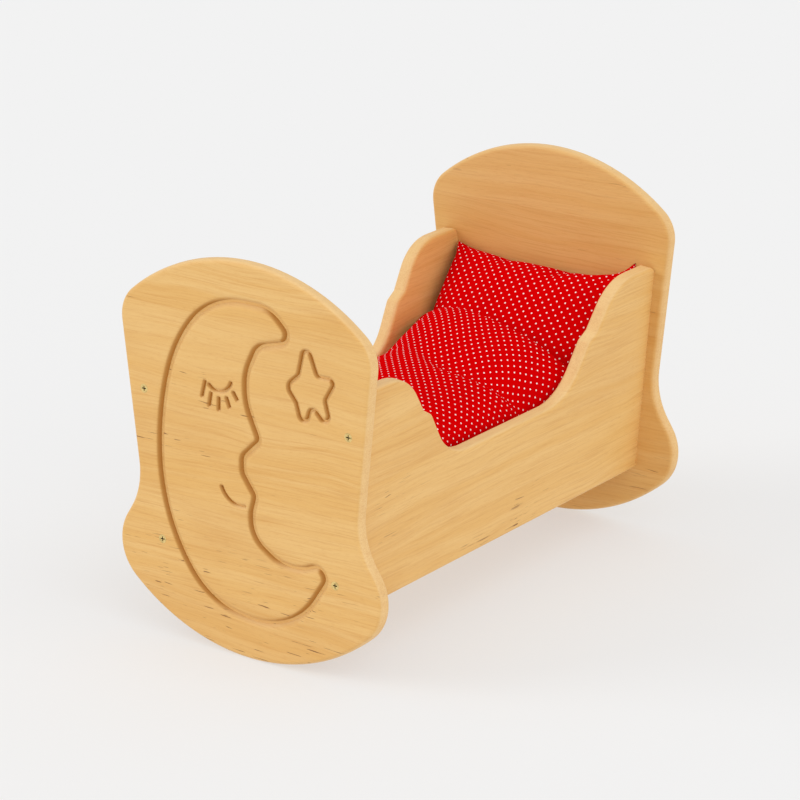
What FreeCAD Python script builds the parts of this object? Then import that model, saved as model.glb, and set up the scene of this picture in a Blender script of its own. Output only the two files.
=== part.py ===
"""Doll's cradle: two rocker end boards, two leaning side boards, a base on ledges, and bedding.

Row frame: origin on the floor under the middle, +X across, +Y from the foot to the head, +Z up.
"""
import FreeCAD, Part
import math
import os
import Sketcher

Vec = FreeCAD.Vector
Rot = FreeCAD.Rotation
Place = FreeCAD.Placement

doc = FreeCAD.newDocument("dolls_cradle")

# ---------------------------------------------------------------- driving dimensions (mm, degrees)
DIMENSIONS = [
    ("overall_length", 526.0),
    ("board_height", 400.0),
    ("end_thickness", 14.0),
    ("end_edge_radius", 4.6),
    ("rocker_radius", 218.0),
    ("tip_radius", 49.0),
    ("tip_half_width", 160.0),
    ("waist_radius", 77.0),
    ("waist_half_width", 134.0),
    ("waist_level", 168.0),
    ("shoulder_radius", 37.0),
    ("shoulder_half_width", 150.5),
    ("crown_radius", 215.0),
    ("side_thickness", 16.0),
    ("side_lean", 5.0),
    ("side_foot_x", 113.5),
    ("side_foot_level", 67.5),
    ("side_height", 226.5),
    ("side_edge_radius", 4.6),
    ("scoop_floor", 119.0),
    ("scoop_corner_y", 101.8),
    ("step_low_y", 135.5),
    ("step_low_height", 173.0),
    ("step_high_y", 148.5),
    ("step_high_height", 180.5),
    ("scoop_top_y", 180.0),
    ("scoop_floor_radius", 60.0),
    ("scoop_top_radius", 58.0),
    ("step_radius", 7.0),
    ("end_corner_radius", 8.0),
    ("upper_screw_x", 123.1),
    ("upper_screw_level", 252.7),
    ("lower_screw_x", 105.5),
    ("lower_screw_level", 101.3),
    ("bore_clearance", 0.05),
    ("base_thickness", 9.0),
    ("base_half_width", 98.8),
    ("base_gap", 0.5),
    ("ledge_level", 76.0),
    ("ledge_height", 15.0),
    ("ledge_width", 15.0),
    ("ledge_length", 470.0),
    ("mattress_half_width", 98.0),
    ("mattress_thickness", 40.0),
    ("mattress_corner_radius", 18.0),
    ("mattress_edge_radius", 8.0),
    ("bedding_gap", 0.6),
    ("end_gap", 1.5),
    ("cover_thickness", 1.0),
    ("quilt_side_height", 45.0),
    ("quilt_crown", 40.0),
    ("quilt_half_width", 102.6),
    ("quilt_clearance", 2.0),
    ("pillow_length", 176.0),
    ("pillow_half_width", 103.0),
    ("pillow_bulge", 25.0),
    ("pillow_rim", 5.0),
    ("pillow_angle", 45.5),
    ("pillow_low_y", 119.5),
    ("pillow_low_level", 145.8),
]
sheet = doc.addObject("Spreadsheet::Sheet", "sizes")
for row, (alias, number) in enumerate(DIMENSIONS, start=1):
    sheet.set("A%d" % row, alias)
    sheet.set("B%d" % row, str(number))
    sheet.setAlias("B%d" % row, alias)
doc.recompute()


def size(alias):
    """The number behind an alias of the sheet."""
    return float(getattr(sheet, alias))


def origin_plane(body, role):
    """One of a body's own origin planes, such as XZ_Plane."""
    return [f for f in body.Origin.OriginFeatures if f.Role == role][0]


def new_sketch(body, name, role):
    """A sketch on one of the body's origin planes."""
    sketch = body.newObject("Sketcher::SketchObject", name)
    sketch.AttachmentSupport = (origin_plane(body, role), [""])
    sketch.MapMode = "FlatFace"
    return sketch


def add_polygon(sketch, corners):
    """A closed outline of straight lines.

    Each corner is (x, y, x expression or None, y expression or None). A coordinate with an
    expression gets a driving distance from the sketch's origin.
    """
    count = len(corners)
    for i in range(count):
        start = Vec(corners[i][0], corners[i][1], 0)
        end = Vec(corners[(i + 1) % count][0], corners[(i + 1) % count][1], 0)
        sketch.addGeometry(Part.LineSegment(start, end), False)
    for i in range(count):
        sketch.addConstraint(Sketcher.Constraint("Coincident", i, 2, (i + 1) % count, 1))
    for i, (x, y, x_formula, y_formula) in enumerate(corners):
        for kind, value, formula in (("DistanceX", x, x_formula), ("DistanceY", y, y_formula)):
            number = sketch.addConstraint(Sketcher.Constraint(kind, -1, 1, i, 1, value))
            if formula:
                sketch.setExpression("Constraints[%d]" % number, formula)


def pad(body, sketch, name, length_formula, midplane=False, reverse=False):
    """Pad a sketch by a length from the sheet."""
    feature = body.newObject("PartDesign::Pad", name)
    feature.Profile = sketch
    feature.setExpression("Length", length_formula)
    feature.Midplane = midplane
    feature.Reversed = reverse
    doc.recompute()
    return feature


def mirrored(body, original, name, role):
    """The feature and its mirror image in one of the body's origin planes."""
    feature = body.newObject("PartDesign::Mirrored", name)
    feature.Originals = [original]
    feature.MirrorPlane = (origin_plane(body, role), [""])
    feature.Refine = True
    body.Tip = feature
    doc.recompute()
    return feature


def edges_where(feature, test):
    """Names of the feature's edges whose bounding box passes a test."""
    return ["Edge%d" % (i + 1) for i, edge in enumerate(feature.Shape.Edges) if test(edge.BoundBox)]


def fillet(body, base, name, edges, radius_formula):
    """Round some edges of a feature by a radius from the sheet."""
    feature = body.newObject("PartDesign::Fillet", name)
    feature.Base = (base, edges)
    feature.setExpression("Radius", radius_formula)
    doc.recompute()
    return feature


def near(a, b, tolerance=0.05):
    return abs(a - b) < tolerance


# ---------------------------------------------------------------- end boards: rocker below, crown on top
def tangent_arc(centre, radius, start, end):
    """An arc that runs anticlockwise from start to end, both given in degrees."""
    circle = Part.Circle(Vec(centre[0], centre[1], 0), Vec(0, 0, 1), radius)
    return Part.ArcOfCircle(circle, math.radians(start), math.radians(end))


def end_board_body(label):
    """Half the outline of the board padded, mirrored about its middle, and rounded on both faces.

    The outline climbs from the rocker's lowest point through the tip, the waist and the shoulder
    to the crown: five arcs and two straight runs, each tangent to the next. The outer face lies
    on the body's XZ plane and the thickness runs along +Y.
    """
    body = doc.addObject("PartDesign::Body", label)
    sketch = new_sketch(body, label + "_outline", "XZ_Plane")
    rocker, tip, waist, shoulder, crown = [size(n + "_radius") for n in
                                           ("rocker", "tip", "waist", "shoulder", "crown")]
    height = size("board_height")
    tip_x = size("tip_half_width") - tip
    tip_z = rocker - math.sqrt((rocker - tip) ** 2 - tip_x ** 2)
    waist_x = size("waist_half_width") + waist
    waist_z = size("waist_level")
    shoulder_x = size("shoulder_half_width") - shoulder
    shoulder_z = height - crown + math.sqrt((crown - shoulder) ** 2 - shoulder_x ** 2)

    rocker_end = math.degrees(math.atan2(tip_z - rocker, tip_x))
    crown_start = math.degrees(math.atan2(shoulder_z - height + crown, shoulder_x))

    def crossing(ax, az, a_radius, bx, bz, b_radius, side):
        """Direction, seen from circle a, of the point where the crossing tangent leaves it."""
        line = math.degrees(math.atan2(bz - az, bx - ax))
        swing = math.degrees(math.acos((a_radius + b_radius) / math.hypot(bx - ax, bz - az)))
        return line + side * swing

    flare = crossing(tip_x, tip_z, tip, waist_x, waist_z, waist, -1)
    taper = crossing(waist_x, waist_z, waist, shoulder_x, shoulder_z, shoulder, 1) % 360

    arcs = {
        "rocker": tangent_arc((0, rocker), rocker, -90, rocker_end),
        "tip": tangent_arc((tip_x, tip_z), tip, rocker_end, flare),
        "waist": tangent_arc((waist_x, waist_z), waist, taper, flare + 180),
        "shoulder": tangent_arc((shoulder_x, shoulder_z), shoulder, taper - 180, crown_start),
        "crown": tangent_arc((0, height - crown), crown, crown_start, 90),
    }
    flare_line = Part.LineSegment(arcs["tip"].EndPoint, arcs["waist"].EndPoint)
    taper_line = Part.LineSegment(arcs["waist"].StartPoint, arcs["shoulder"].StartPoint)
    middle_line = Part.LineSegment(Vec(0, height, 0), Vec(0, 0, 0))
    outline = [arcs["rocker"], arcs["tip"], flare_line, arcs["waist"], taper_line,
               arcs["shoulder"], arcs["crown"], middle_line]
    sketch.addGeometry(outline, False)

    joins = [(0, 2, 1, 1), (1, 2, 2, 1), (2, 2, 3, 2), (3, 1, 4, 1), (4, 2, 5, 1), (5, 2, 6, 1)]
    for first, first_end, second, second_end in joins:
        sketch.addConstraint(Sketcher.Constraint("Tangent", first, first_end, second, second_end))
    sketch.addConstraint(Sketcher.Constraint("Coincident", 6, 2, 7, 1))
    sketch.addConstraint(Sketcher.Constraint("Coincident", 7, 2, 0, 1))
    sketch.addConstraint(Sketcher.Constraint("Coincident", 0, 1, -1, 1))
    sketch.addConstraint(Sketcher.Constraint("PointOnObject", 0, 3, -2))
    sketch.addConstraint(Sketcher.Constraint("PointOnObject", 6, 3, -2))
    sketch.addConstraint(Sketcher.Constraint("PointOnObject", 7, 1, -2))
    for index, name in ((0, "rocker"), (1, "tip"), (3, "waist"), (5, "shoulder"), (6, "crown")):
        alias = name + "_radius"
        number = sketch.addConstraint(Sketcher.Constraint("Radius", index, size(alias)))
        sketch.setExpression("Constraints[%d]" % number, "sizes." + alias)
    placed = [
        ("DistanceY", 7, 1, height, "sizes.board_height"),
        ("DistanceX", 1, 3, tip_x, "sizes.tip_half_width - sizes.tip_radius"),
        ("DistanceX", 5, 3, shoulder_x, "sizes.shoulder_half_width - sizes.shoulder_radius"),
        ("DistanceX", 3, 3, waist_x, "sizes.waist_half_width + sizes.waist_radius"),
        ("DistanceY", 3, 3, waist_z, "sizes.waist_level"),
    ]
    for kind, index, point, value, formula in placed:
        number = sketch.addConstraint(Sketcher.Constraint(kind, -1, 1, index, point, value))
        sketch.setExpression("Constraints[%d]" % number, formula)
    doc.recompute()

    half = pad(body, sketch, label + "_half", "sizes.end_thickness", reverse=True)
    whole = mirrored(body, half, label + "_whole", "YZ_Plane")
    faces = (0.0, size("end_thickness"))
    rims = edges_where(whole, lambda box: box.YLength < 1e-3 and any(near(box.YMin, f) for f in faces))
    fillet(body, whole, label + "_rounded", rims, "sizes.end_edge_radius")
    return body


# ---------------------------------------------------------------- countersunk wood screws
SCREWS = {
    # name: head radius, shank radius, length, recess radius, recess arm width
    "board_screw": (4.4, 2.2, 50.0, 2.5, 1.1),
    "ledge_screw": (3.4, 1.7, 22.0, 1.9, 0.9),
}
HEAD_ANGLE = 45.0


def turned_body(label, outline):
    """A body turned about its Z axis from a half outline of (radius, level) corners."""
    body = doc.addObject("PartDesign::Body", label)
    sketch = new_sketch(body, label + "_outline", "XZ_Plane")
    add_polygon(sketch, [(r, z, None, None) for r, z in outline])
    turned = body.newObject("PartDesign::Revolution", label + "_turned")
    turned.Profile = sketch
    turned.ReferenceAxis = (sketch, ["V_Axis"])
    turned.Angle = 360.0
    doc.recompute()
    return body


def screw_outline(kind, gap=0.0, above=0.0):
    """Half outline of a screw along -Z with its head's flat top at level 0.

    gap widens every radius and above lifts the head's top, which makes the matching bore."""
    head, shank, length, _, _ = SCREWS[kind]
    rim = 0.4
    neck = rim + (head - shank) / math.tan(math.radians(HEAD_ANGLE))
    point = 1.6 * shank
    outline = [(0, above), (head + gap, above), (head + gap, -rim), (shank + gap, -neck)]
    if gap:
        return outline + [(shank + gap, -length - gap), (0, -length - gap)]
    return outline + [(shank, point - length), (0, -length)]


def screw_body(kind):
    """The screw with its cross recess, narrowing as it goes down."""
    _, _, _, recess, arm = SCREWS[kind]
    body = turned_body(kind, screw_outline(kind))
    sketch = new_sketch(body, kind + "_recess_outline", "XY_Plane")
    half = arm / 2
    cross = [(recess, half), (half, half), (half, recess), (-half, recess), (-half, half),
             (-recess, half), (-recess, -half), (-half, -half), (-half, -recess), (half, -recess),
             (half, -half), (recess, -half)]
    add_polygon(sketch, [(x, y, None, None) for x, y in cross])
    doc.recompute()
    recess_cut = body.newObject("PartDesign::Pocket", kind + "_recess")
    recess_cut.Profile = sketch
    recess_cut.Length = recess
    recess_cut.TaperAngle = -8.0
    doc.recompute()
    return body


def place_copies(label, source, places):
    """One object that holds a copy of the source at each place, as separate solids."""
    copies = []
    for number, place in enumerate(places, start=1):
        copy = doc.addObject("App::Link", "%s_%d" % (label, number))
        copy.LinkedObject = source
        copy.Placement = place
        copies.append(copy)
    group = doc.addObject("Part::Compound", label)
    group.Links = copies
    doc.recompute()
    return group


def cut(label, base, tool):
    """Base with the tool's volume taken away, as a boolean of the document."""
    result = doc.addObject("Part::Cut", label)
    result.Base = base
    result.Tool = tool
    doc.recompute()
    return result


half_length = size("overall_length") / 2
outer_faces = {"foot": (-half_length, 90.0), "head": (half_length, -90.0)}
screw_spots = [(sign * size(level + "_screw_x"), size(level + "_screw_level"))
               for level in ("upper", "lower") for sign in (-1, 1)]


def board_screw_places(end):
    """Places of the four screws that enter one end board, heads flush with its outer face."""
    face, turn = outer_faces[end]
    return [Place(Vec(x, face, z), Rot(Vec(1, 0, 0), turn)) for x, z in screw_spots]


board_screw = screw_body("board_screw")
ledge_screw = screw_body("ledge_screw")
clearance = size("bore_clearance")
board_bore = turned_body("board_bore", screw_outline("board_screw", clearance, 1.0))
ledge_bore = turned_body("ledge_bore", screw_outline("ledge_screw", clearance, 0.0))
board_bores = {end: place_copies(end + "_bores", board_bore, board_screw_places(end))
               for end in outer_faces}

# ---------------------------------------------------------------- carving: moon and star in the foot board
# Each router bit: half width of its flat end, half width at the wood's surface, depth of cut.
MOON_BIT = (1.3, 7.5, 4.0)
STAR_BIT = (0.8, 5.0, 3.4)
FACE_BIT = (0.6, 4.6, 3.3)
BIT_ABOVE = 1.0

# Centre lines of the two closed grooves: corners (x, z) and the radius that rounds each one.
CRESCENT = [
    (-38.6, 361.0, 85.0), (-83.7, 306.3, 150.0), (-105.0, 234.7, 300.0), (-105.0, 165.0, 205.0),
    (-90.2, 106.0, 175.0), (-48.4, 50.1, 86.0), (21.7, 38.3, 90.0), (67.5, 61.3, 80.0),
    (109.1, 124.9, 10.5), (49.1, 101.6, 50.0), (6.3, 128.3, 30.0), (6.3, 152.0, 14.0),
    (11.5, 170.0, 10.0), (-3.5, 191.0, 12.0), (-3.5, 207.0, 12.0), (17.5, 227.0, 8.0),
    (2.0, 262.0, 60.0), (2.0, 291.0, 50.0), (16.4, 320.8, 22.0), (61.1, 332.9, 10.0),
    (33.0, 361.0, 38.0),
]
STAR = [
    (74.5, 339.5, 5.2), (87.5, 305.0, 5.2), (110.0, 305.5, 5.2), (96.5, 283.0, 5.2),
    (105.0, 250.5, 5.2), (80.0, 276.0, 5.2), (71.0, 244.8, 5.2), (62.5, 275.0, 5.2),
    (51.0, 289.0, 7.5), (65.5, 302.0, 5.2),
]
# Open strokes of the sleeping face: start, middle and end of an arc, or the two ends of a line.
EYELID = [(-42.0, 272.0), (-30.0, 267.5), (-15.5, 278.5)]
LASHES = [
    [(-47.0, 274.0), (-51.0, 259.5)], [(-40.0, 263.5), (-42.5, 251.5)],
    [(-30.5, 260.5), (-31.0, 249.5)], [(-21.0, 262.5), (-18.0, 254.5)],
    [(-12.5, 269.5), (-8.5, 263.5)],
]
MOUTH = [(-29.5, 171.5), (-19.0, 159.5), (-2.5, 157.0)]


def bit_half_section(bit):
    """Half of the bit's section: X across the groove, Y into the wood, closed along its axis.

    The groove's wall is one arc that leaves the face without an edge and steepens to the floor."""
    flat, reach, depth = bit
    half_turn = math.atan2(depth, reach - flat)
    radius = depth / (1 - math.cos(2 * half_turn))
    low = Vec(flat, depth, 0)
    bend = Vec(reach - radius * math.sin(half_turn), radius * (1 - math.cos(half_turn)), 0)
    high = Vec(reach, 0, 0)
    corners = [high, Vec(reach, -BIT_ABOVE, 0), Vec(0, -BIT_ABOVE, 0), Vec(0, depth, 0), low]
    edges = [Part.makeLine(corners[i], corners[i + 1]) for i in range(len(corners) - 1)]
    return Part.Face(Part.Wire(edges + [Part.Arc(low, bend, high).toShape()]))


def bit_section(bit):
    """The bit's whole section: both halves without the line between them."""
    half = bit_half_section(bit)
    other = half.mirror(Vec(0, 0, 0), Vec(1, 0, 0))
    outer = [edge for edge in half.Edges + other.Edges if edge.BoundBox.XLength > 1e-6
             or abs(edge.BoundBox.XMin) > 1e-6]
    return Part.Face(Part.Wire(Part.sortEdges(outer)[0]))


def set_square(shape, point, direction):
    """The shape moved to a point of the outer face, its Z axis turned to the cutting direction."""
    across = Vec(0, 1, 0).cross(direction)
    turn = FreeCAD.Matrix(across.x, 0, direction.x, point.x,
                          across.y, 1, direction.y, point.y,
                          across.z, 0, direction.z, point.z,
                          0, 0, 0, 1)
    moved = shape.copy()
    moved.Placement = Place(turn)
    return moved


def on_face(corner):
    """A point of the end board's outer face from its (x, z)."""
    return Vec(corner[0], 0, corner[1])


def stroke_cut(bit, corners):
    """An open groove, straight or along an arc through three points, with round ends."""
    points = [on_face(corner) for corner in corners]
    if len(points) == 2:
        path = Part.makeLine(points[0], points[1])
    else:
        path = Part.Arc(*points).toShape()
    leave = path.tangentAt(path.FirstParameter)
    arrive = path.tangentAt(path.LastParameter)
    section = set_square(bit_section(bit), points[0], leave)
    if len(points) == 2:
        groove = section.extrude(points[1] - points[0])
    else:
        sweep = math.degrees(path.LastParameter - path.FirstParameter)
        groove = section.revolve(path.Curve.Center, path.Curve.Axis, sweep)
    cap = bit_half_section(bit).revolve(Vec(0, 0, 0), Vec(0, 1, 0), 180)
    ends = [set_square(cap, points[0], leave), set_square(cap, points[-1], arrive * -1)]
    return groove.fuse(ends)


def rounded_path(corners):
    """A closed wire of straight runs and tangent arcs from corners (x, z, radius)."""
    points = [on_face(corner) for corner in corners]
    arcs = []
    for i, (_, _, radius) in enumerate(corners):
        here = points[i]
        back = (points[i - 1] - here).normalize()
        ahead = (points[(i + 1) % len(points)] - here).normalize()
        half_angle = back.getAngle(ahead) / 2
        reach = radius / math.tan(half_angle)
        bisector = (back + ahead).normalize()
        middle = here + bisector * (radius / math.sin(half_angle) - radius)
        arcs.append((here + back * reach, middle, here + ahead * reach))
    edges = []
    for i, (start, middle, end) in enumerate(arcs):
        edges.append(Part.Arc(start, middle, end).toShape())
        edges.append(Part.makeLine(end, arcs[(i + 1) % len(arcs)][0]))
    return Part.Wire(edges)


def closed_cut(bit, corners):
    """The bit's section swept once round a closed path."""
    path = rounded_path(corners)
    first = path.Edges[0]
    start = first.valueAt(first.FirstParameter)
    section = set_square(bit_section(bit), start, first.tangentAt(first.FirstParameter))
    return path.makePipeShell([section.OuterWire], True, False)


carvings = {"crescent": closed_cut(MOON_BIT, CRESCENT), "star": closed_cut(STAR_BIT, STAR),
            "eyelid": stroke_cut(FACE_BIT, EYELID), "mouth": stroke_cut(FACE_BIT, MOUTH)}
for number, lash in enumerate(LASHES, start=1):
    carvings["lash_%d" % number] = stroke_cut(FACE_BIT, lash)
foot_place = Place(Vec(0, -half_length, 0), Rot())
head_place = Place(Vec(0, half_length, 0), Rot(Vec(0, 0, 1), 180))
foot_blank = end_board_body("foot_blank")
head_blank = end_board_body("head_blank")
foot_blank.Placement = foot_place
head_blank.Placement = head_place
foot_carved = foot_blank
for name, shape in carvings.items():
    tool = doc.addObject("Part::Feature", name + "_carving")
    tool.Shape = shape
    tool.Placement = foot_place
    foot_carved = cut("foot_with_" + name, foot_carved, tool)
foot_board = cut("foot_board", foot_carved, board_bores["foot"])
head_board = cut("head_board", head_blank, board_bores["head"])


# ---------------------------------------------------------------- side boards: scooped top edge, leaning outwards
side_end_y = half_length - size("end_thickness")
SIDE_END = "sizes.overall_length / 2 - sizes.end_thickness"


def side_body(label):
    """One side board lying in its own plane: length along Y, height along Z, outer face at X 0.

    The top edge drops from each end over a small step to the scoop's floor. The scoop's corners
    are rounded first, then both long rims, and last the square corners at the two ends.
    """
    body = doc.addObject("PartDesign::Body", label)
    sketch = new_sketch(body, label + "_outline", "YZ_Plane")
    top = size("side_height")
    near_half = [
        (side_end_y, 0, SIDE_END, None),
        (side_end_y, top, SIDE_END, "sizes.side_height"),
        (size("scoop_top_y"), top, "sizes.scoop_top_y", "sizes.side_height"),
        (size("step_high_y"), size("step_high_height"), "sizes.step_high_y", "sizes.step_high_height"),
        (size("step_low_y"), size("step_low_height"), "sizes.step_low_y", "sizes.step_low_height"),
        (size("scoop_corner_y"), size("scoop_floor"), "sizes.scoop_corner_y", "sizes.scoop_floor"),
    ]
    far_half = [(-y, z, "-(%s)" % y_formula, z_formula) for y, z, y_formula, z_formula in near_half]
    add_polygon(sketch, near_half + far_half[::-1])
    doc.recompute()
    feature = pad(body, sketch, label + "_blank", "sizes.side_thickness", reverse=True)
    corners = [("scoop_top_radius", size("scoop_top_y"), top),
               ("step_radius", size("step_low_y"), size("step_low_height")),
               ("scoop_floor_radius", size("scoop_corner_y"), size("scoop_floor"))]
    for alias, y, z in corners:
        edges = edges_where(feature, lambda box: box.XLength > 1 and near(abs(box.YMin), y)
                            and near(box.ZMin, z) and near(box.ZMax, z))
        feature = fillet(body, feature, label + "_" + alias, edges, "sizes." + alias)
    rims = edges_where(feature, lambda box: box.XLength < 1e-3 and box.YLength > 1e-3)
    fillet(body, feature, label + "_rims", rims, "sizes.side_edge_radius")

    # The two top corners are cut round through the board's thickness.
    corner_sketch = new_sketch(body, label + "_corner_outline", "YZ_Plane")
    radius = size("end_corner_radius")
    for sign in (-1, 1):
        centre = Vec(sign * (side_end_y - radius), top - radius, 0)
        on_top = centre + Vec(0, radius, 0)
        on_end = centre + Vec(sign * radius, 0, 0)
        bend = centre + Vec(sign * radius, radius, 0) * math.sqrt(0.5)
        beyond = [on_end + Vec(sign, 0, 0), centre + Vec(sign * (radius + 1), radius + 1, 0),
                  on_top + Vec(0, 1, 0)]
        around = [on_end] + beyond + [on_top]
        runs = [Part.LineSegment(around[i], around[i + 1]) for i in range(len(around) - 1)]
        corner_sketch.addGeometry([Part.Arc(on_top, bend, on_end)] + runs, False)
    doc.recompute()
    corner_cut = body.newObject("PartDesign::Pocket", label + "_corners")
    corner_cut.Profile = corner_sketch
    corner_cut.Type = "ThroughAll"
    corner_cut.Midplane = True
    doc.recompute()
    return body


def leaning(turn):
    """Place of a side board: outer face's lower edge on its line, leaning out, turned about Z."""
    lean = Rot(Vec(0, 1, 0), size("side_lean"))
    board = Place(Vec(size("side_foot_x"), 0, size("side_foot_level")), lean)
    return Place(Vec(), Rot(Vec(0, 0, 1), turn)).multiply(board)


SIDES = {"right": 0.0, "left": 180.0}
LEDGE_SCREW_Y = (-180.0, -60.0, 60.0, 180.0)
BASE_SCREW_Y = (-120.0, 0.0, 120.0)

lean_angle = math.radians(size("side_lean"))


def inner_face_x(level):
    """Half the clear width between the side boards at a level."""
    rise = (level - size("side_foot_level")) * math.tan(lean_angle)
    return size("side_foot_x") + rise - size("side_thickness") / math.cos(lean_angle)


ledge_top = size("ledge_level") + size("ledge_height")
base_top = ledge_top + size("base_thickness")
ledge_inner_x = inner_face_x(ledge_top) - size("ledge_width")
ledge_screw_level = size("ledge_level") + size("ledge_height") / 2
base_screw_x = ledge_inner_x + size("ledge_width") / 2


def turned_places(places, turn):
    """Places made for the right side, turned about the vertical axis for either side."""
    return [Place(Vec(), Rot(Vec(0, 0, 1), turn)).multiply(place) for place in places]


ledge_screw_places = [Place(Vec(ledge_inner_x, y, ledge_screw_level), Rot(Vec(0, 1, 0), -90))
                      for y in LEDGE_SCREW_Y]
base_screw_places = [Place(Vec(base_screw_x, y, base_top), Rot()) for y in BASE_SCREW_Y]
ledge_bores, base_bores, side_boards, ledges = {}, {}, {}, {}
for side, turn in SIDES.items():
    ledge_bores[side] = place_copies(side + "_ledge_bores", ledge_bore, turned_places(ledge_screw_places, turn))
    base_bores[side] = place_copies(side + "_base_bores", ledge_bore, turned_places(base_screw_places, turn))

    # The board is bored from both ends for the board screws and from inside for the ledge screws.
    blank = side_body("side_%s_blank" % side)
    blank.Placement = leaning(turn)
    at_foot = cut("side_%s_at_foot" % side, blank, board_bores["foot"])
    at_head = cut("side_%s_at_head" % side, at_foot, board_bores["head"])
    side_boards[side] = cut("side_board_" + side, at_head, ledge_bores[side])

    # The ledge is a strip with one bevelled face against the leaning board.
    strip = doc.addObject("PartDesign::Body", "ledge_%s_strip" % side)
    section = new_sketch(strip, "ledge_%s_section" % side, "XZ_Plane")
    low, high = size("ledge_level"), ledge_top
    add_polygon(section, [(ledge_inner_x, low, None, "sizes.ledge_level"),
                          (inner_face_x(low), low, None, "sizes.ledge_level"),
                          (inner_face_x(high), high, None, "sizes.ledge_level + sizes.ledge_height"),
                          (ledge_inner_x, high, None, "sizes.ledge_level + sizes.ledge_height")])
    pad(strip, section, "ledge_%s_pad" % side, "sizes.ledge_length", midplane=True)
    strip.Placement = Place(Vec(), Rot(Vec(0, 0, 1), turn))
    drilled = cut("ledge_%s_drilled" % side, strip, ledge_bores[side])
    ledges[side] = cut("base_ledge_" + side, drilled, base_bores[side])

# ---------------------------------------------------------------- base board on the ledges
base_blank = doc.addObject("Part::Box", "base_blank")
base_blank.setExpression("Length", "2 * sizes.base_half_width")
base_blank.setExpression("Width", "sizes.overall_length - 2 * sizes.end_thickness - 2 * sizes.base_gap")
base_blank.setExpression("Height", "sizes.base_thickness")
base_blank.setExpression("Placement.Base.x", "-sizes.base_half_width")
base_blank.setExpression("Placement.Base.y", "-sizes.overall_length / 2 + sizes.end_thickness + sizes.base_gap")
base_blank.setExpression("Placement.Base.z", "sizes.ledge_level + sizes.ledge_height")
doc.recompute()
base_half_drilled = cut("base_half_drilled", base_blank, base_bores["left"])
base_board = cut("base_board", base_half_drilled, base_bores["right"])

# ---------------------------------------------------------------- fasteners, one group per place of use
foot_screws = place_copies("foot_board_screws", board_screw, board_screw_places("foot"))
head_screws = place_copies("head_board_screws", board_screw, board_screw_places("head"))
ledge_screws = place_copies("ledge_screws", ledge_screw,
                            turned_places(ledge_screw_places, 0) + turned_places(ledge_screw_places, 180))
base_screws = place_copies("base_screws", ledge_screw,
                           turned_places(base_screw_places, 0) + turned_places(base_screw_places, 180))


# ---------------------------------------------------------------- bedding: covers with their fillings
def cover_and_filling(name, outer, inner):
    """A cover with a closed hollow and the filling that lies in it."""
    cover = cut(name + "_cover", outer, inner)
    filling = doc.addObject("Part::Compound", name + "_filling")
    filling.Links = [inner]
    doc.recompute()
    return [cover, filling]


def mattress_body(label, inset):
    """A flat pad with rounded corners and edges, drawn in by an inset on every side."""
    body = doc.addObject("PartDesign::Body", label)
    sketch = new_sketch(body, label + "_outline", "XY_Plane")
    x = size("mattress_half_width") - inset
    y = side_end_y - size("end_gap") - inset
    corners = [(-x, -y), (x, -y), (x, y), (-x, y)]
    add_polygon(sketch, [(px, py, None, None) for px, py in corners])
    doc.recompute()
    block = body.newObject("PartDesign::Pad", label + "_block")
    block.Profile = sketch
    block.Length = size("mattress_thickness") - 2 * inset
    doc.recompute()
    uprights = edges_where(block, lambda box: box.ZLength > 1)
    turned = fillet(body, block, label + "_corners", uprights, "sizes.mattress_corner_radius - %g" % inset)
    rims = edges_where(turned, lambda box: box.ZLength < 1e-3)
    fillet(body, turned, label + "_edges", rims, "sizes.mattress_edge_radius - %g" % inset)
    body.Placement = Place(Vec(0, 0, base_top + size("bedding_gap") / 2 + inset), Rot())
    return body


def pillow_body(label, inset):
    """The leaning pillow: two shallow arcs back to back, run across the cradle.

    The section is drawn along its own length and turned so that its lower edge stands on the
    mattress and its upper edge leans on the head board."""
    half_length = size("pillow_length") / 2 - 2 * inset
    half_width = size("pillow_half_width") - inset
    bulge = size("pillow_bulge") - inset
    rim = size("pillow_rim")
    low, high = -half_length, half_length
    upper = Part.Arc(Vec(-half_width, low, rim), Vec(-half_width, 0, bulge), Vec(-half_width, high, rim))
    lower = Part.Arc(Vec(-half_width, high, -rim), Vec(-half_width, 0, -bulge), Vec(-half_width, low, -rim))
    top_rim = Part.Arc(Vec(-half_width, high, rim), Vec(-half_width, high + rim, 0), Vec(-half_width, high, -rim))
    foot_rim = Part.Arc(Vec(-half_width, low, -rim), Vec(-half_width, low - rim, 0), Vec(-half_width, low, rim))
    section = Part.Face(Part.Wire([arc.toShape() for arc in (upper, top_rim, lower, foot_rim)]))
    pillow = doc.addObject("Part::Feature", label)
    pillow.Shape = section.extrude(Vec(2 * half_width, 0, 0))
    angle = math.radians(size("pillow_angle"))
    middle = size("pillow_length") / 2
    centre = Vec(0, size("pillow_low_y") + middle * math.cos(angle),
                 size("pillow_low_level") + middle * math.sin(angle))
    pillow.Placement = Place(centre, Rot(Vec(1, 0, 0), size("pillow_angle")))
    return pillow


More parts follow.
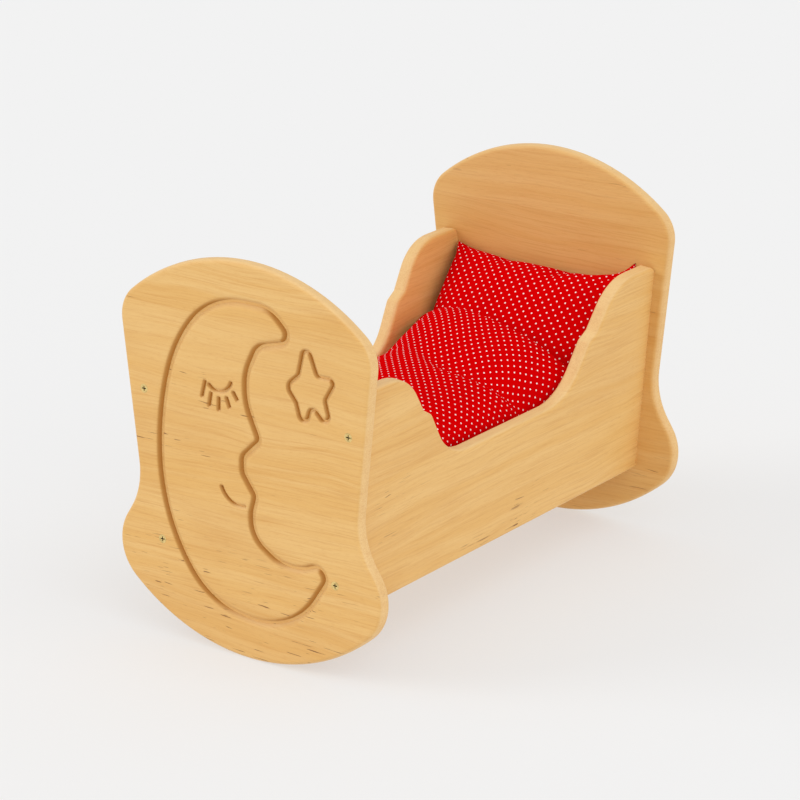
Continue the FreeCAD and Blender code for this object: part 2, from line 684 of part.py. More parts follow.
def quilt_body(label, inset):
    """The quilt: a domed block between the side boards, cut off along the pillow's upper face."""
    floor = base_top + size("mattress_thickness") + 1.5 * size("bedding_gap") + inset
    side = size("quilt_side_height") - inset
    half = size("quilt_half_width") - inset
    start_y = -side_end_y + size("end_gap") + inset
    shoulder_x = half + side * math.tan(lean_angle)
    low_right, low_left = Vec(half, start_y, floor), Vec(-half, start_y, floor)
    right, left = Vec(shoulder_x, start_y, floor + side), Vec(-shoulder_x, start_y, floor + side)
    crown = Vec(0, start_y, floor + side + size("quilt_crown") - inset)
    edges = [Part.makeLine(low_left, low_right), Part.makeLine(low_right, right),
             Part.Arc(right, crown, left).toShape(), Part.makeLine(left, low_left)]
    block = Part.Face(Part.Wire(edges)).extrude(Vec(0, 2 * side_end_y, 0))
    angle = math.radians(size("pillow_angle"))
    lift = size("pillow_bulge") + size("quilt_clearance") + inset
    beyond = Part.makeBox(400, 600, 400, Vec(-200, -200, -400))
    beyond.Placement = Place(Vec(0, size("pillow_low_y") - lift * math.sin(angle),
                                 size("pillow_low_level") + lift * math.cos(angle)),
                             Rot(Vec(1, 0, 0), size("pillow_angle")))
    quilt = doc.addObject("Part::Feature", label)
    quilt.Shape = block.cut(beyond)
    return quilt


inset = size("cover_thickness")
bedding = []
for name, make in (("mattress", mattress_body), ("pillow", pillow_body), ("quilt", quilt_body)):
    bedding += cover_and_filling(name, make(name + "_outside", 0.0), make(name + "_inside", inset))

# ---------------------------------------------------------------- checks and STEP files
nodes = [foot_board, head_board, side_boards["left"], side_boards["right"], ledges["left"],
         ledges["right"], base_board, foot_screws, head_screws, ledge_screws, base_screws] + bedding
doc.recompute()
for item in doc.Objects:
    if "Invalid" in item.State or "Error" in item.State:
        raise RuntimeError("%s is in state %s" % (item.Label, item.State))
os.makedirs("parts", exist_ok=True)
for node in nodes:
    if node.Shape.isNull() or not node.Shape.isValid():
        raise RuntimeError("%s has no valid shape" % node.Label)
    node.Shape.exportStep("parts/%s.step" % node.Label)
    print("%-20s %2d solids %9.0f mm3" % (node.Label, len(node.Shape.Solids), node.Shape.Volume))
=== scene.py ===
"""A doll's rocking cradle of oiled alder with a carved moon, and its red dotted bedding."""
import math
import bpy
import numpy as np
from mathutils import Matrix, Vector


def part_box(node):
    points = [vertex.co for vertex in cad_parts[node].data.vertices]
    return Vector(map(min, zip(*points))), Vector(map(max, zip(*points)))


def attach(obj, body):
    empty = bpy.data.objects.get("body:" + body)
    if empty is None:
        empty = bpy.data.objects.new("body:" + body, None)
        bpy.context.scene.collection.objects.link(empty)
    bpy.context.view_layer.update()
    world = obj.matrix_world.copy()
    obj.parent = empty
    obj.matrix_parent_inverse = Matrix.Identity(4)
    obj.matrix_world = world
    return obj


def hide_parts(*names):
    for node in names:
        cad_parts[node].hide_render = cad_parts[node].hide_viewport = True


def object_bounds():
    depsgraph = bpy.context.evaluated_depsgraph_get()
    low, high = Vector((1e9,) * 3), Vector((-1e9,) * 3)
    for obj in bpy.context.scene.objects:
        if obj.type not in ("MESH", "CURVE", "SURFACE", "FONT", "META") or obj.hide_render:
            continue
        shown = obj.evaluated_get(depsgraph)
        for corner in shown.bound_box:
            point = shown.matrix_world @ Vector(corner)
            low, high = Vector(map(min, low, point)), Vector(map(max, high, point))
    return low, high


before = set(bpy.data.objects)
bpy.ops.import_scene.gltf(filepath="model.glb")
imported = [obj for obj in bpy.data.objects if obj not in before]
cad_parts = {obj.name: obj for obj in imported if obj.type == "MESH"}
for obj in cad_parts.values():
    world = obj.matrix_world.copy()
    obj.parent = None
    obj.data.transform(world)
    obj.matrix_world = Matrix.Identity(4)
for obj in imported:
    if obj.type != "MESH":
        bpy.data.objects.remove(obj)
cad_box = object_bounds()
scene = bpy.context.scene

# ---------------------------------------------------------------- the studio
# A pale floor without a horizon, even light from all round, a soft light from the upper left and
# a softer one from the right. The camera looks down on the carved end from its right.
AZIMUTH, ELEVATION, ROLL = (math.radians(a) for a in (36.3546, 18.985, -0.3736))
AIM = Vector((-0.0156, 0.0065, 0.1863))
AWAY = 3.444
FOCAL_LENGTH = 153.2
FILM_WIDTH = 36.0
FAR_LIMIT = 50.0
SKY_STRENGTH = 0.73
FLOOR_REACH = 9.0
FLOOR_TONE = (0.400, 0.400, 0.400, 1.0)
FLOOR_GLOW = 0.480

away = Vector((math.sin(AZIMUTH) * math.cos(ELEVATION), -math.cos(AZIMUTH) * math.cos(ELEVATION),
               math.sin(ELEVATION)))
level_right = Vector((math.cos(AZIMUTH), math.sin(AZIMUTH), 0))
level_up = away.cross(level_right)
rolled_right = level_right * math.cos(ROLL) + level_up * math.sin(ROLL)
rolled_up = level_up * math.cos(ROLL) - level_right * math.sin(ROLL)
camera = bpy.data.objects.new("camera", bpy.data.cameras.new("camera"))
camera.data.lens = FOCAL_LENGTH
camera.data.sensor_width = FILM_WIDTH
camera.data.clip_end = FAR_LIMIT
camera.matrix_world = Matrix.LocRotScale(
    AIM + away * AWAY, Matrix((rolled_right, rolled_up, away)).transposed().to_quaternion(), None)
scene.collection.objects.link(camera)
scene.camera = camera

scene.view_settings.view_transform = "Standard"
scene.world = bpy.data.worlds.new("studio")
scene.world.use_nodes = True
sky = scene.world.node_tree.nodes["Background"]
sky.inputs["Color"].default_value = (1.0, 1.0, 1.0, 1.0)
sky.inputs["Strength"].default_value = SKY_STRENGTH


def soft_light(name, toward, strength, spread):
    """An even light from far off in one direction, its shadows blurred over the spread in degrees."""
    light = bpy.data.lights.new(name, "SUN")
    light.energy = strength
    light.angle = math.radians(spread)
    lamp = bpy.data.objects.new(name, light)
    lamp.rotation_euler = Vector(toward).to_track_quat("Z", "Y").to_euler()
    scene.collection.objects.link(lamp)


soft_light("key_light", (-0.85, -0.75, 0.55), 0.86, 32.0)
soft_light("right_light", (0.95, -0.22, 0.70), 0.92, 70.0)

floor_mesh = bpy.data.meshes.new("floor")
floor_corners = [(x * FLOOR_REACH, y * FLOOR_REACH, 0) for x, y in ((-1, -1), (1, -1), (1, 1), (-1, 1))]
floor_mesh.from_pydata(floor_corners, [], [(0, 1, 2, 3)])
floor = bpy.data.objects.new("floor", floor_mesh)
scene.collection.objects.link(floor)
floor_finish = bpy.data.materials.new("pale_floor")
floor_finish.use_nodes = True
floor_shader = floor_finish.node_tree.nodes["Principled BSDF"]
floor_shader.inputs["Base Color"].default_value = FLOOR_TONE
floor_shader.inputs["Emission Color"].default_value = (1.0, 1.0, 1.0, 1.0)
floor_shader.inputs["Emission Strength"].default_value = FLOOR_GLOW
floor_shader.inputs["Roughness"].default_value = 1.0
floor_shader.inputs["Specular IOR Level"].default_value = 0.0
floor_mesh.materials.append(floor_finish)


# ---------------------------------------------------------------- end boards
# Two boards of oiled alder, 14 mm thick, each glued up from staves that run across the cradle.
# The outline is routed and rounded over; the foot board carries the routed moon and star.
class Field:
    """A socket of a material's node tree, so that shader maths reads as plain arithmetic."""

    def __init__(self, tree, socket):
        self.tree = tree
        self.socket = socket

    def node(self, kind, inputs, settings=(), output=0):
        """Any node: its settings first, then values or links for its sockets, and one output."""
        made = self.tree.nodes.new(kind)
        for key, value in dict(settings).items():
            setattr(made, key, value)
        for key, value in inputs.items():
            if isinstance(value, Field):
                self.tree.links.new(value.socket, made.inputs[key])
            else:
                made.inputs[key].default_value = value
        return Field(self.tree, made.outputs[output])

    def maths(self, operation, *values):
        return self.node("ShaderNodeMath", dict(enumerate(values)), {"operation": operation})

    def __add__(self, other):
        return self.maths("ADD", self, other)

    def __sub__(self, other):
        return self.maths("SUBTRACT", self, other)

    def __rsub__(self, other):
        return self.maths("SUBTRACT", other, self)

    def __mul__(self, other):
        return self.maths("MULTIPLY", self, other)

    def __truediv__(self, other):
        return self.maths("DIVIDE", self, other)

    __radd__ = __add__
    __rmul__ = __mul__

    def between(self, low, high):
        """0 below low, 1 above high and a smooth step between them. low may be the larger."""
        settings = {"interpolation_type": "SMOOTHSTEP"}
        if low > high:
            inputs = {"Value": self, "From Min": high, "From Max": low, "To Min": 1.0, "To Max": 0.0}
        else:
            inputs = {"Value": self, "From Min": low, "From Max": high, "To Min": 0.0, "To Max": 1.0}
        return self.node("ShaderNodeMapRange", inputs, settings)

    def noise(self, vector, scale, detail=2.0, rough=0.5):
        """Soft noise from 0 to 1 at the points of a vector."""
        inputs = {"Vector": vector, "Scale": scale, "Detail": detail, "Roughness": rough}
        return self.node("ShaderNodeTexNoise", inputs)

    def vector(self, x, y, z):
        return self.node("ShaderNodeCombineXYZ", {0: x, 1: y, 2: z})

    def split(self):
        """The three parts of a vector."""
        return [self.node("ShaderNodeSeparateXYZ", {0: self}, output=i) for i in range(3)]

    def facing(self):
        """The direction that the surface looks in, in three parts."""
        return self.node("ShaderNodeNewGeometry", {}, output=1).split()

    def size(self):
        return self.maths("ABSOLUTE", self)

    def blend(self, first, second):
        """first where this value is 0 and second where it is 1, for colours."""
        inputs = {"Factor": self, 6: first, 7: second}
        settings = {"data_type": "RGBA", "clamp_factor": True}
        return self.node("ShaderNodeMix", inputs, settings, output=2)


def new_finish(name, roughness, **constants):
    """A material, its shader, and a Field of the point's place in the piece's own frame."""
    finish = bpy.data.materials.new(name)
    finish.use_nodes = True
    shader = finish.node_tree.nodes["Principled BSDF"]
    shader.inputs["Roughness"].default_value = roughness
    for key, value in constants.items():
        shader.inputs[key.replace("_", " ")].default_value = value
    where = finish.node_tree.nodes.new("ShaderNodeTexCoord")
    return finish, shader, Field(finish.node_tree, where.outputs["Object"])


def relief(shader, height, strength, depth):
    """Bump from a height field that runs from 0 to 1, depth metres high."""
    bump = height.node("ShaderNodeBump", {"Strength": strength, "Distance": depth, "Height": height})
    height.tree.links.new(bump.socket, shader.inputs["Normal"])


def feed(shader, name, field):
    """Links a field to a socket of the shader."""
    field.tree.links.new(field.socket, shader.inputs[name])


HONEY = (0.768, 0.444, 0.136, 1.0)
STRAW = (0.812, 0.510, 0.189, 1.0)
AMBER = (0.590, 0.268, 0.060, 1.0)
UMBER = (0.230, 0.092, 0.027, 1.0)
RIM_HIGHLIGHT_CREAM = (0.900, 0.680, 0.380, 1.0)


# Repeats per metre of each kind of figure: along the grain, across it and through the board.
SWAY = (5.0, 11.0, 8.0)
RINGS = (1.8, 78.0, 40.0)
STREAKS = (10.0, 330.0, 160.0)
LINES = (16.0, 900.0, 500.0)
PORES = (110.0, 1700.0, 1700.0)
CLOUDS = (7.0, 13.0, 9.0)
FLECK_ZONES = (6.0, 16.0, 5.0)
FLECK_DASHES = (38.0, 600.0, 300.0)
SPECKLES = 900.0


def board_wood(name, along, across, through, stave, shift, rim_axis, flecked=()):
    """Oiled alder: staves, soft figure, pores and pith flecks that run along the grain.

    along, across and through are the axes 0, 1 or 2 of the grain, the stave's width and the
    board's thickness. stave is a stave's width and shift moves the figure. rim_axis is the axis
    that the board's two faces look along. flecked holds pairs of levels: the pith flecks grow
    thick from the first to the second."""
    finish, shader, spot = new_finish(name, 0.5, Specular_IOR_Level=0.35)
    parts = spot.split()
    grain, width, depth = parts[along] + shift, parts[across] + shift, parts[through]

    # Each stave has two random numbers of its own, for its tone and for where it was sawn from.
    drift = spot.noise(spot.vector(grain * 2.0, width * 6.0, depth), 1.0, 1.0) - 0.5
    plank = (width + drift * 0.004) / stave
    number = plank.maths("FLOOR", plank)
    tone = number.node("ShaderNodeTexWhiteNoise", {"W": number}, {"noise_dimensions": "1D"})
    second = number.node("ShaderNodeTexWhiteNoise", {"W": number + 17.3}, {"noise_dimensions": "1D"})
    run = grain + tone * 3.0
    side = width + (second - 0.5) * 0.10 * grain + second * 2.0

    def figure(repeats, detail, rough, bend=0.0):
        """One kind of figure, pushed sideways by the bend."""
        lengthways, sideways, inwards = repeats
        point = spot.vector(run * lengthways, side * sideways + bend, depth * inwards)
        return spot.noise(point, 1.0, detail, rough)

    sway = figure(SWAY, 2.0, 0.5) - 0.5
    rings = figure(RINGS, 3.0, 0.6, sway * 3.2)
    streaks = figure(STREAKS, 3.0, 0.65, sway * 9.0)
    lines = figure(LINES, 2.0, 0.6, sway * 12.0)
    pores = figure(PORES, 2.0, 0.6)
    cloud = figure(CLOUDS, 2.0, 0.5)
    joint = (plank - number - 0.5).size()

    # Pith flecks: fine dark dashes, thick near the stated levels and scattered elsewhere.
    zone = figure(FLECK_ZONES, 2.0, 0.6)
    thick = zone.between(0.60, 0.72)
    for low, high in flecked:
        thick = thick.maths("MAXIMUM", thick, parts[across].between(low, high) * zone.between(0.36, 0.50))
    fleck = figure(FLECK_DASHES, 1.0, 0.5).between(0.680, 0.725) * thick

    # The routed rims: a painted highlight makes the rounded edge along the grain paler; denser end grain
    # across it.
    normal = spot.facing()
    flat, ends = normal[rim_axis].size(), normal[along].size()
    speckle = spot.noise(spot, SPECKLES, 2.0, 0.6)

    # Where each tint lies, how strong it is at most, and its colour.
    colour = rings.between(0.30, 0.72).blend(HONEY, STRAW)
    for place, strength, tint in (
            (streaks.between(0.46, 0.78), 0.34, AMBER),
            (lines.between(0.50, 0.70), 0.34, AMBER),
            (cloud.between(0.46, 0.80), 0.26, AMBER),
            (tone.between(0.45, 1.0), 0.20, STRAW),
            (second.between(0.55, 1.0), 0.22, AMBER),
            (joint.between(0.4945, 0.4995), 0.28, AMBER),
            (pores.between(0.56, 0.72), 0.36, AMBER),
            (fleck, 0.95, UMBER),
            (flat.between(0.93, 0.55), 0.34, RIM_HIGHLIGHT_CREAM),
            (ends.between(0.55, 0.95) * speckle.between(0.40, 0.66), 0.30, AMBER)):
        colour = (place * strength).blend(colour, tint)

    feed(shader, "Roughness", 0.44 + streaks * 0.14 + ends.between(0.5, 1.0) * 0.10)
    relief(shader, streaks * 0.45 + pores * 0.55, 0.35, 0.00025)
    return finish, shader, colour, parts


def paint(node_name, finish):
    """A CAD node in its own finish."""
    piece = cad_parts[node_name]
    for place in piece.material_slots:
        place.material = finish


# The routed grooves are darker than the face: partly the darker end grain of their steep walls, partly
# painted shade, most of all deep down and on the wall that faces right. The tint keeps to an ellipse round
# the carving, clear of the board's own rounded edge.
FOOT_FACE = cad_box[0][1]
FOOT_FLECKS = [(0.125, 0.075)]
GROOVE_END_GRAIN_AND_SHADE = (0.420, 0.160, 0.008, 1.0)
CARVING_LEVEL = 0.2
CARVING_HALF_WIDTH, CARVING_HALF_HEIGHT = 0.126, 0.19
finish, shader, colour, (x, y, z) = board_wood(
    "alder_foot_board", along=0, across=2, through=1, stave=0.094, shift=0.317, rim_axis=1,
    flecked=FOOT_FLECKS)
sideways, upwards = x / CARVING_HALF_WIDTH, (z - CARVING_LEVEL) / CARVING_HALF_HEIGHT
inside = sideways * sideways + upwards * upwards
below = y - FOOT_FACE
carved = inside.between(1.03, 0.99) * below.between(0.0, 0.00025) * below.between(0.0048, 0.0040)
# Painted shade in the grooves: darker deep down and on the wall that faces right, over the darker end
# grain of the steep walls.
facing_x, facing_y, _ = x.facing()
steep = facing_y.size().between(0.998, 0.84)
wall_shade = facing_x.between(0.03, 0.42) * 0.72 + facing_x.between(-0.10, -0.85) * 0.10 + 0.16
deep_shade = below.between(-0.0020, 0.0022)
feed(shader, "Base Color", (carved * steep * deep_shade * wall_shade).blend(colour, GROOVE_END_GRAIN_AND_SHADE))
paint("foot_board", finish)

# The head board's inner face is painted a shade darker, as painted shade inside the bed.
HEAD_FLECKS = [(0.100, 0.060), (0.345, 0.375)]
finish, shader, colour, parts = board_wood(
    "alder_head_board", along=0, across=2, through=1, stave=0.088, shift=0.813, rim_axis=1,
    flecked=HEAD_FLECKS)
inner = colour.facing()[1].between(0.2, -0.6)
feed(shader, "Base Color", (inner * 0.17).blend(colour, AMBER))
paint("head_board", finish)

# ---------------------------------------------------------------- side boards
# Two boards of the same alder, 16 mm thick, that lean outwards. Their grain runs the cradle's
# length, the scooped top edge is rounded over, and the ends butt against the end boards.
for name, shift in (("side_board_left", 1.211), ("side_board_right", 0.542)):
    finish, shader, colour, parts = board_wood(
        "alder_" + name, along=1, across=2, through=0, stave=0.082, shift=shift, rim_axis=0)
    feed(shader, "Base Color", colour)
    paint(name, finish)

# ---------------------------------------------------------------- base board and its ledges
# A sheet of 9 mm birch plywood screwed down on two softwood ledges. Only its underside and the
# ledges can be seen, from below; its edges show the plies.
PLY = 0.0015
finish, shader, colour, parts = board_wood(
    "birch_plywood", along=1, across=0, through=2, stave=0.9, shift=2.205, rim_axis=2)
ply = parts[2] / PLY
pair = ply.maths("FLOOR", ply) / 2.0
odd = pair.maths("FRACT", pair)
edge = ply.facing()[2].size().between(0.7, 0.3)
feed(shader, "Base Color", (edge * odd * 0.8).blend(colour, AMBER))
paint("base_board", finish)
finish, shader, colour, parts = board_wood(
    "spruce_ledges", along=1, across=2, through=0, stave=0.5, shift=0.127, rim_axis=2)
feed(shader, "Base Color", colour)
for name in ("base_ledge_left", "base_ledge_right"):
    paint(name, finish)

# ---------------------------------------------------------------- screws
# Yellow passivated countersunk wood screws with a cross recess, turned flush with the face.
BRASS = (0.86, 0.65, 0.27, 1.0)
WORN_BRASS = (0.56, 0.40, 0.15, 1.0)
RECESS_SHADE = (0.050, 0.030, 0.012, 1.0)
# Repeats per metre of the worn patches and of the fine scratches.
WEAR, SCRATCHES = 420.0, 2600.0


def screw_metal(name):
    """Yellow metal with fine scratches, and the colour before anything else is added to it."""
    finish, shader, spot = new_finish(name, 0.34, Metallic=1.0)
    wear = spot.noise(spot, WEAR, 3.0, 0.6)
    scratches = spot.noise(spot, SCRATCHES, 1.0, 0.5)
    feed(shader, "Roughness", 0.28 + scratches * 0.25)
    relief(shader, scratches, 0.2, 0.0001)
    return finish, shader, spot, wear.between(0.40, 0.72).blend(BRASS, WORN_BRASS)


finish, shader, spot, colour = screw_metal("hidden_screws")
feed(shader, "Base Color", colour)
for name in ("ledge_screws", "base_screws"):
    paint(name, finish)

# Below the outer faces, inside the cross recesses, the metal is painted dark: painted shade in the recess.
finish, shader, spot, colour = screw_metal("face_screws")
sunk = (cad_box[1][1] - spot.split()[1].size()).between(0.0002, 0.0010)
feed(shader, "Base Color", sunk.blend(colour, RECESS_SHADE))
for name in ("foot_board_screws", "head_board_screws"):
    paint(name, finish)

# ---------------------------------------------------------------- mattress
# A foam block in a sewn cotton cover, laid loose on the base board. Red cotton with small
# white dots in staggered rows, like the rest of the bedding.
RED = (0.672, 0.0, 0.0006, 1.0)
DEEP_RED = (0.520, 0.0010, 0.0035, 1.0)
WHITE = (0.93, 0.86, 0.84, 1.0)
DOT_PITCH = 0.0071
DOT_RADIUS = 0.00088
DOT_EDGE = 0.00014
DOT_UNEVEN = 0.00035
THREAD_PITCH = 0.00042
THREAD_RELIEF = 0.00012
# Repeats per metre of the dots' rough outline and of the faded patches.
INK, FADING = 2400.0, 30.0


def dotted_cotton(name):
    """Red cotton printed with white dots, mapped by the flat cloth's own measure."""
    finish, shader, spot = new_finish(name, 0.86, Sheen_Weight=0.2, Sheen_Roughness=0.4,
                                      Sheen_Tint=(0.75, 0.01, 0.01, 1.0), Specular_IOR_Level=0.0)
    flat = spot.node("ShaderNodeAttribute", {}, {"attribute_name": "cloth"}, output=1)
    across, along, _ = flat.split()
    diagonal = math.sqrt(0.5)
    squares = []
    for turned in ((across + along) * diagonal, (across - along) * diagonal):
        cell = turned / DOT_PITCH
        offset = (cell.maths("FRACT", cell) - 0.5) * DOT_PITCH
        squares.append(offset * offset)
    radius = squares[0] + squares[1]
    radius = radius.maths("SQRT", radius)
    uneven = (spot.noise(flat, INK, 1.0) - 0.5) * DOT_UNEVEN
    dot = (radius + uneven).between(DOT_RADIUS + DOT_EDGE, DOT_RADIUS - DOT_EDGE)
    warp = across.maths("SINE", across * (math.tau / THREAD_PITCH))
    weft = along.maths("SINE", along * (math.tau / THREAD_PITCH))
    weave = warp * weft * 0.5 + 0.5
    faded = spot.noise(flat, FADING, 3.0, 0.6)
    colour = (faded.between(0.35, 0.75) * 0.22 + weave * 0.10).blend(RED, DEEP_RED)
    feed(shader, "Base Color", (dot * 0.96).blend(colour, WHITE))
    relief(shader, weave, 0.25, THREAD_RELIEF)
    return finish


cotton = dotted_cotton("dotted_cotton")


def sewn_cover(name, columns, rows, shape):
    """Two sheets of cloth sewn together all round.

    shape(u, v, side) gives the points of the upper sheet (side 1) or the under sheet (side -1)
    for u and v from -1 to 1. The flat cloth's measure is kept in the attribute "cloth"."""
    u, v = np.meshgrid(np.linspace(-1, 1, columns), np.linspace(-1, 1, rows))
    upper, under = shape(u, v, 1.0), shape(u, v, -1.0)
    upper_ids = np.arange(rows * columns).reshape(rows, columns)
    under_ids = upper_ids.copy()
    inner = (rows - 2) * (columns - 2)
    under_ids[1:-1, 1:-1] = rows * columns + np.arange(inner).reshape(rows - 2, columns - 2)
    points = np.concatenate([upper.reshape(-1, 3), under[1:-1, 1:-1].reshape(-1, 3)])

    def quads(ids):
        return np.stack([ids[:-1, :-1], ids[:-1, 1:], ids[1:, 1:], ids[1:, :-1]], axis=-1).reshape(-1, 4)

    faces = np.concatenate([quads(upper_ids), quads(under_ids)[:, ::-1]])
    mesh = bpy.data.meshes.new(name)
    mesh.from_pydata(points.tolist(), [], faces.tolist())
    mesh.shade_smooth()

    def measure(sheet):
        """Distance along the cloth from its middle line, both ways."""
        steps = [np.linalg.norm(np.diff(sheet, axis=1 - a), axis=2).cumsum(axis=1 - a) for a in (0, 1)]
        across = np.pad(steps[0], ((0, 0), (1, 0)))
        along = np.pad(steps[1], ((1, 0), (0, 0)))
        return np.stack([across - across[:, columns // 2, None], along - along[rows // 2],
                         np.zeros_like(across)], axis=-1)

    cloth = np.concatenate([measure(upper).reshape(-1, 3), measure(under)[1:-1, 1:-1].reshape(-1, 3)])
    mesh.attributes.new("cloth", "FLOAT_VECTOR", "POINT").data.foreach_set("vector", cloth.ravel())
    mesh.materials.append(cotton)
    piece = bpy.data.objects.new(name, mesh)
    scene.collection.objects.link(piece)
    return piece


FILLING_FRAMES = 20
FILLING_QUALITY = 6


def fill_out(piece, pressure, spare, cap):
    """Blows the cover up by cloth simulation and keeps each point within the cap of its place.

    spare is how much larger than its sewn shape the cloth is, as a share."""
    count = len(piece.data.vertices)
    sewn = np.empty(count * 3)
    piece.data.vertices.foreach_get("co", sewn)
    filling = piece.modifiers.new("filling", "CLOTH")
    filling.settings.use_pressure = True
    filling.settings.uniform_pressure_force = pressure
    filling.settings.shrink_min = -spare
    filling.settings.shrink_max = -spare
    filling.settings.quality = FILLING_QUALITY
    filling.settings.effector_weights.gravity = 0.0
    filling.point_cache.frame_start = 1
    filling.point_cache.frame_end = FILLING_FRAMES
    for moment in range(1, FILLING_FRAMES + 1):
        scene.frame_set(moment)
    blown = np.empty(count * 3)
    piece.evaluated_get(bpy.context.evaluated_depsgraph_get()).data.vertices.foreach_get("co", blown)
    piece.modifiers.remove(filling)
    scene.frame_set(1)
    sewn, blown = sewn.reshape(-1, 3), blown.reshape(-1, 3)
    moved = blown - sewn
    length = np.linalg.norm(moved, axis=1, keepdims=True)
    kept = sewn + moved * np.minimum(1.0, cap * np.tanh(length / cap) / np.maximum(length, 1e-9))
    piece.data.vertices.foreach_set("co", kept.ravel())
    piece.data.update()


SIDE_LEAN = math.radians(5.0)
SIDE_THICKNESS = 0.016
SIDE_FOOT_X, SIDE_FOOT_LEVEL = 0.1135, 0.0675
END_THICKNESS = 0.014
INNER_END = cad_box[1][1] - END_THICKNESS
CLEARANCE = 0.0006


def side_reach(level):
    """Half the clear width between the side boards at a level."""
    outer = SIDE_FOOT_X + (level - SIDE_FOOT_LEVEL) * math.tan(SIDE_LEAN)
    return outer - SIDE_THICKNESS / math.cos(SIDE_LEAN)


def hold_in(piece, floor_level):
    """Presses the cover flat where it meets the side boards, the end boards or what lies below."""
    points = np.empty(len(piece.data.vertices) * 3)
    piece.data.vertices.foreach_get("co", points)
    points = points.reshape(-1, 3)
    reach = side_reach(points[:, 2]) - CLEARANCE
    points[:, 0] = np.clip(points[:, 0], -reach, reach)
    points[:, 1] = np.clip(points[:, 1], -INNER_END + CLEARANCE, INNER_END - CLEARANCE)
    points[:, 2] = np.maximum(points[:, 2], floor_level)
    piece.data.vertices.foreach_set("co", points.ravel())
    piece.data.update()


def smooth_cover(piece):
    """One subdivision of the finished cover."""
    smooth = piece.modifiers.new("smooth", "SUBSURF")
    smooth.levels = 1
    smooth.render_levels = 1


def settle(piece, body, nodes):
    """The cover stands for its CAD nodes and rides on their body."""
    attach(piece, body)
    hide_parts(*nodes)


def ramp(value, low, high):
    """Smooth step from 0 at low to 1 at high."""
    t = np.clip((value - low) / (high - low), 0.0, 1.0)
    return t * t * (3.0 - 2.0 * t)


mattress_low, mattress_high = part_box("mattress_cover")
MATTRESS_SIDE_SPARE, MATTRESS_TOP_SPARE = 0.003, 0.0045
MATTRESS_SINK = 0.002


def mattress_shape(u, v, side):
    """A flat block with soft corners, its sides drawn in a little between them."""
    centre = (Vector(mattress_low) + Vector(mattress_high)) / 2
    half = (Vector(mattress_high) - Vector(mattress_low)) / 2
    bend_u, bend_v = np.sin(u * math.pi / 2) * 0.5 + u * 0.5, np.sin(v * math.pi / 2) * 0.25 + v * 0.75
    thick = (np.maximum(1 - np.abs(bend_u) ** 7, 0) * np.maximum(1 - np.abs(bend_v) ** 14, 0)) ** 0.5
    x = centre.x + (half.x - MATTRESS_SIDE_SPARE) * bend_u * (1 - 0.012 * (1 - bend_v ** 4))
    y = centre.y + (half.y - MATTRESS_SIDE_SPARE) * bend_v * (1 - 0.006 * (1 - bend_u ** 4))
    z = centre.z - MATTRESS_SINK + side * (half.z - MATTRESS_TOP_SPARE) * thick
    return np.stack([x, y, z], axis=-1)


mattress = sewn_cover("mattress", 41, 91, mattress_shape)
fill_out(mattress, pressure=4.0, spare=0.01, cap=0.003)
hold_in(mattress, mattress_low[2])
smooth_cover(mattress)
settle(mattress, "mattress", ("mattress_cover", "mattress_filling"))

# ---------------------------------------------------------------- pillow
# A soft fibre-filled pillow between two squares of the dotted cotton. It leans on the head board,
# wedged between the side boards, with its corners pointing up into the bed's corners.
PILLOW_ANGLE = math.radians(45.5)
PILLOW_LOW = Vector((0, 0.1195, 0.1458))
PILLOW_LENGTH = 0.186
PILLOW_HALF_WIDTH = 0.105
PILLOW_BULGE = 0.024
PILLOW_SIDE_GAP, PILLOW_WAIST = 0.001, 0.004
FOLD_SPREAD, FOLD_START, FOLD_HEIGHT = 0.030, 0.022, 0.0022
FOLD_COUNT = 11.0
CREASE_HALF_WIDTH, CREASE_HALF_LENGTH = 0.11, 0.42
# The four corners, each with the turn of the folds that fan out of it.
PILLOW_CORNERS = ((-1, 1, 0.4), (1, 1, 2.1), (1, -1, 0.0), (-1, -1, 1.1))
# Shallow creases: the middle of each, its direction in radians and its depth.
PILLOW_CREASES = ((-0.45, 0.75, 0.5, 0.0030), (0.62, 0.10, -0.9, 0.0036), (0.25, 0.82, 0.2, 0.0022),
                  (-0.75, -0.1, 1.2, 0.0022))


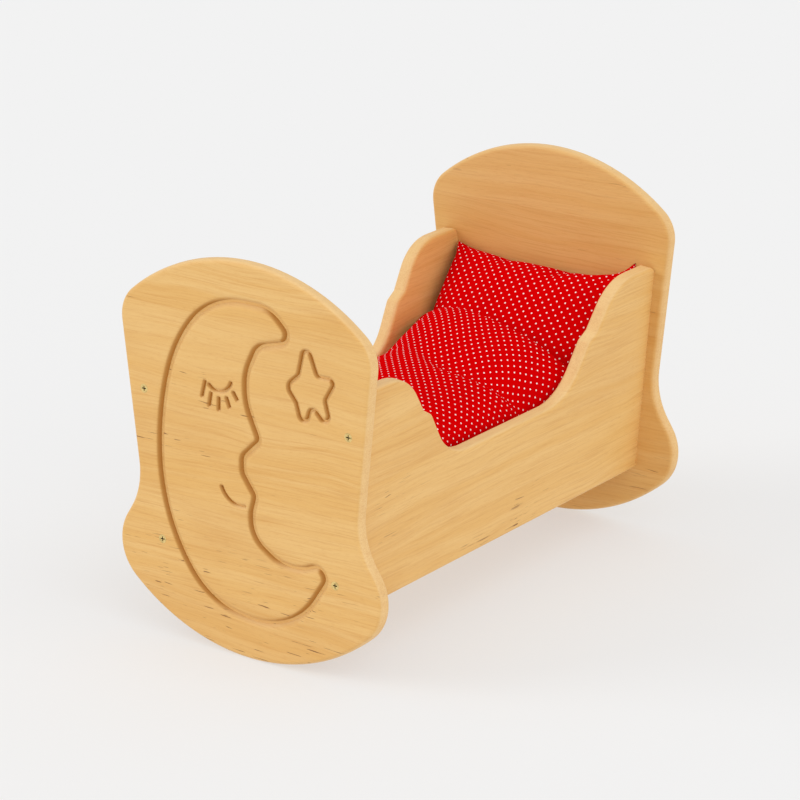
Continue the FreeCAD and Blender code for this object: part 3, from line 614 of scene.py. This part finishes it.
def pillow_shape(u, v, side):
    """Crowned in the middle and drawn in between its four pointed corners."""
    sunk = np.sign(v) * np.abs(v) ** 0.9
    along = PILLOW_LENGTH * (sunk + 1) / 2
    corner = np.abs(u) ** 6 * ramp(v, 0.5, 1.0)
    along = along + corner * (0.001 + 0.017 * ramp(u, 0.0, 1.0)) - 0.005 * ramp(v, 0.6, 1.0) * (1 - u ** 2)
    level = PILLOW_LOW.z + along * math.sin(PILLOW_ANGLE)
    half_width = side_reach(level) - PILLOW_SIDE_GAP - PILLOW_WAIST * (1 - v ** 2) * np.abs(u)
    thick = np.maximum(1 - np.abs(u) ** 2.6, 0) ** 0.62 * np.maximum(1 - np.abs(v) ** 2.4, 0) ** 0.62
    lift = side * PILLOW_BULGE * thick + 0.004 * np.abs(u) ** 4
    for corner_u, corner_v, turn in PILLOW_CORNERS:
        away_u, away_v = (u - corner_u) * PILLOW_HALF_WIDTH, (v - corner_v) * PILLOW_LENGTH / 2
        distance = np.hypot(away_u, away_v)
        direction = np.arctan2(np.abs(away_v), np.abs(away_u) + 1e-9)
        fold = np.cos(direction * FOLD_COUNT + turn) * np.exp(-distance / FOLD_SPREAD)
        fold = fold * ramp(distance, 0.0, FOLD_START)
        lift = lift + side * FOLD_HEIGHT * fold * ramp(thick, 0.0, 0.2)
    for fold_u, fold_v, turn, depth in PILLOW_CREASES:
        run = (u - fold_u) * math.sin(turn) + (v - fold_v) * math.cos(turn)
        aside = (u - fold_u) * math.cos(turn) - (v - fold_v) * math.sin(turn)
        hollow = np.exp(-((aside / CREASE_HALF_WIDTH) ** 2) - (run / CREASE_HALF_LENGTH) ** 2)
        lift = lift - side * depth * hollow
    x = u * half_width
    y = PILLOW_LOW.y + along * math.cos(PILLOW_ANGLE) - lift * math.sin(PILLOW_ANGLE)
    z = PILLOW_LOW.z + along * math.sin(PILLOW_ANGLE) + lift * math.cos(PILLOW_ANGLE)
    return np.stack([x, y, z], axis=-1)


pillow = sewn_cover("pillow", 57, 51, pillow_shape)
fill_out(pillow, pressure=2.5, spare=0.035, cap=0.006)
hold_in(pillow, mattress_high[2] + CLEARANCE)
smooth_cover(pillow)
settle(pillow, "pillow", ("pillow_cover", "pillow_filling"))

# ---------------------------------------------------------------- quilt
# A thick fibre-filled quilt of the same cotton. It fills the bed from board to board, domes up in
# the middle, and its head end lies over the pillow's lower half on a slant.
QUILT_FOOT_Y = -INNER_END + 0.004
QUILT_HEAD_Y = 0.150
QUILT_FLOOR = mattress_high[2] + 0.001
QUILT_RISE = 0.078
QUILT_SHOULDER = 0.181
QUILT_CROWN = 0.038
QUILT_HALF_WIDTH = 0.108
QUILT_SIDE_GAP = 0.0012
CREASE_MIDDLE_Y, CREASE_MIDDLE_X = 0.036, 0.035
CREASE_CURVE = 6.0
CREASE_DEPTH = 0.0115
CREASE_SPREAD_FOOT, CREASE_SPREAD_HEAD = 0.013, 0.024


def quilt_shape(u, v, side):
    """The upper sheet domes from the boards to the middle; the under one lies flat on the bed.

    Both climb on to the pillow at the head end. A crease runs across in front of the climb."""
    head_y = QUILT_HEAD_Y - 0.030 * u + 0.012 * u ** 2
    y = QUILT_FOOT_Y + (head_y - QUILT_FOOT_Y) * (v + 1) / 2
    rest = QUILT_FLOOR + QUILT_RISE * ramp(y, 0.060, 0.150)
    shoulder = QUILT_SHOULDER + 0.022 * ramp(y, 0.05, 0.15) - 0.012 * ramp(y, -0.12, -0.24)
    head_crown = 0.005 * ramp(y, -0.02, 0.10) * (0.75 - 0.5 * u)
    crown = QUILT_CROWN + head_crown - 0.016 * ramp(y, -0.10, -0.245)
    dome = np.maximum(1 - np.abs(u) ** (2.2 + 0.9 * ramp(u, -0.2, 0.6)), 0)
    crease_y = CREASE_MIDDLE_Y + CREASE_CURVE * (u * QUILT_HALF_WIDTH - CREASE_MIDDLE_X) ** 2
    spread = np.where(y < crease_y, CREASE_SPREAD_FOOT, CREASE_SPREAD_HEAD)
    crease = CREASE_DEPTH * np.exp(-((y - crease_y) / spread) ** 2)
    crease = crease * ramp(u, -0.55, 0.25) * ramp(u, 1.05, 0.80)
    top = shoulder + crown * dome - crease
    rim_u, rim_v = np.maximum(1 - np.abs(u) ** 12, 0) ** 0.5, np.maximum(1 - np.abs(v) ** 16, 0) ** 0.5
    z = (top + rest) / 2 + side * (top - rest) / 2 * rim_u * rim_v
    x = u * (side_reach(z) - QUILT_SIDE_GAP)
    return np.stack([x, y, z], axis=-1)


quilt = sewn_cover("quilt", 61, 101, quilt_shape)
fill_out(quilt, pressure=3.0, spare=0.03, cap=0.007)
hold_in(quilt, QUILT_FLOOR)
smooth_cover(quilt)
settle(quilt, "quilt", ("quilt_cover", "quilt_filling"))
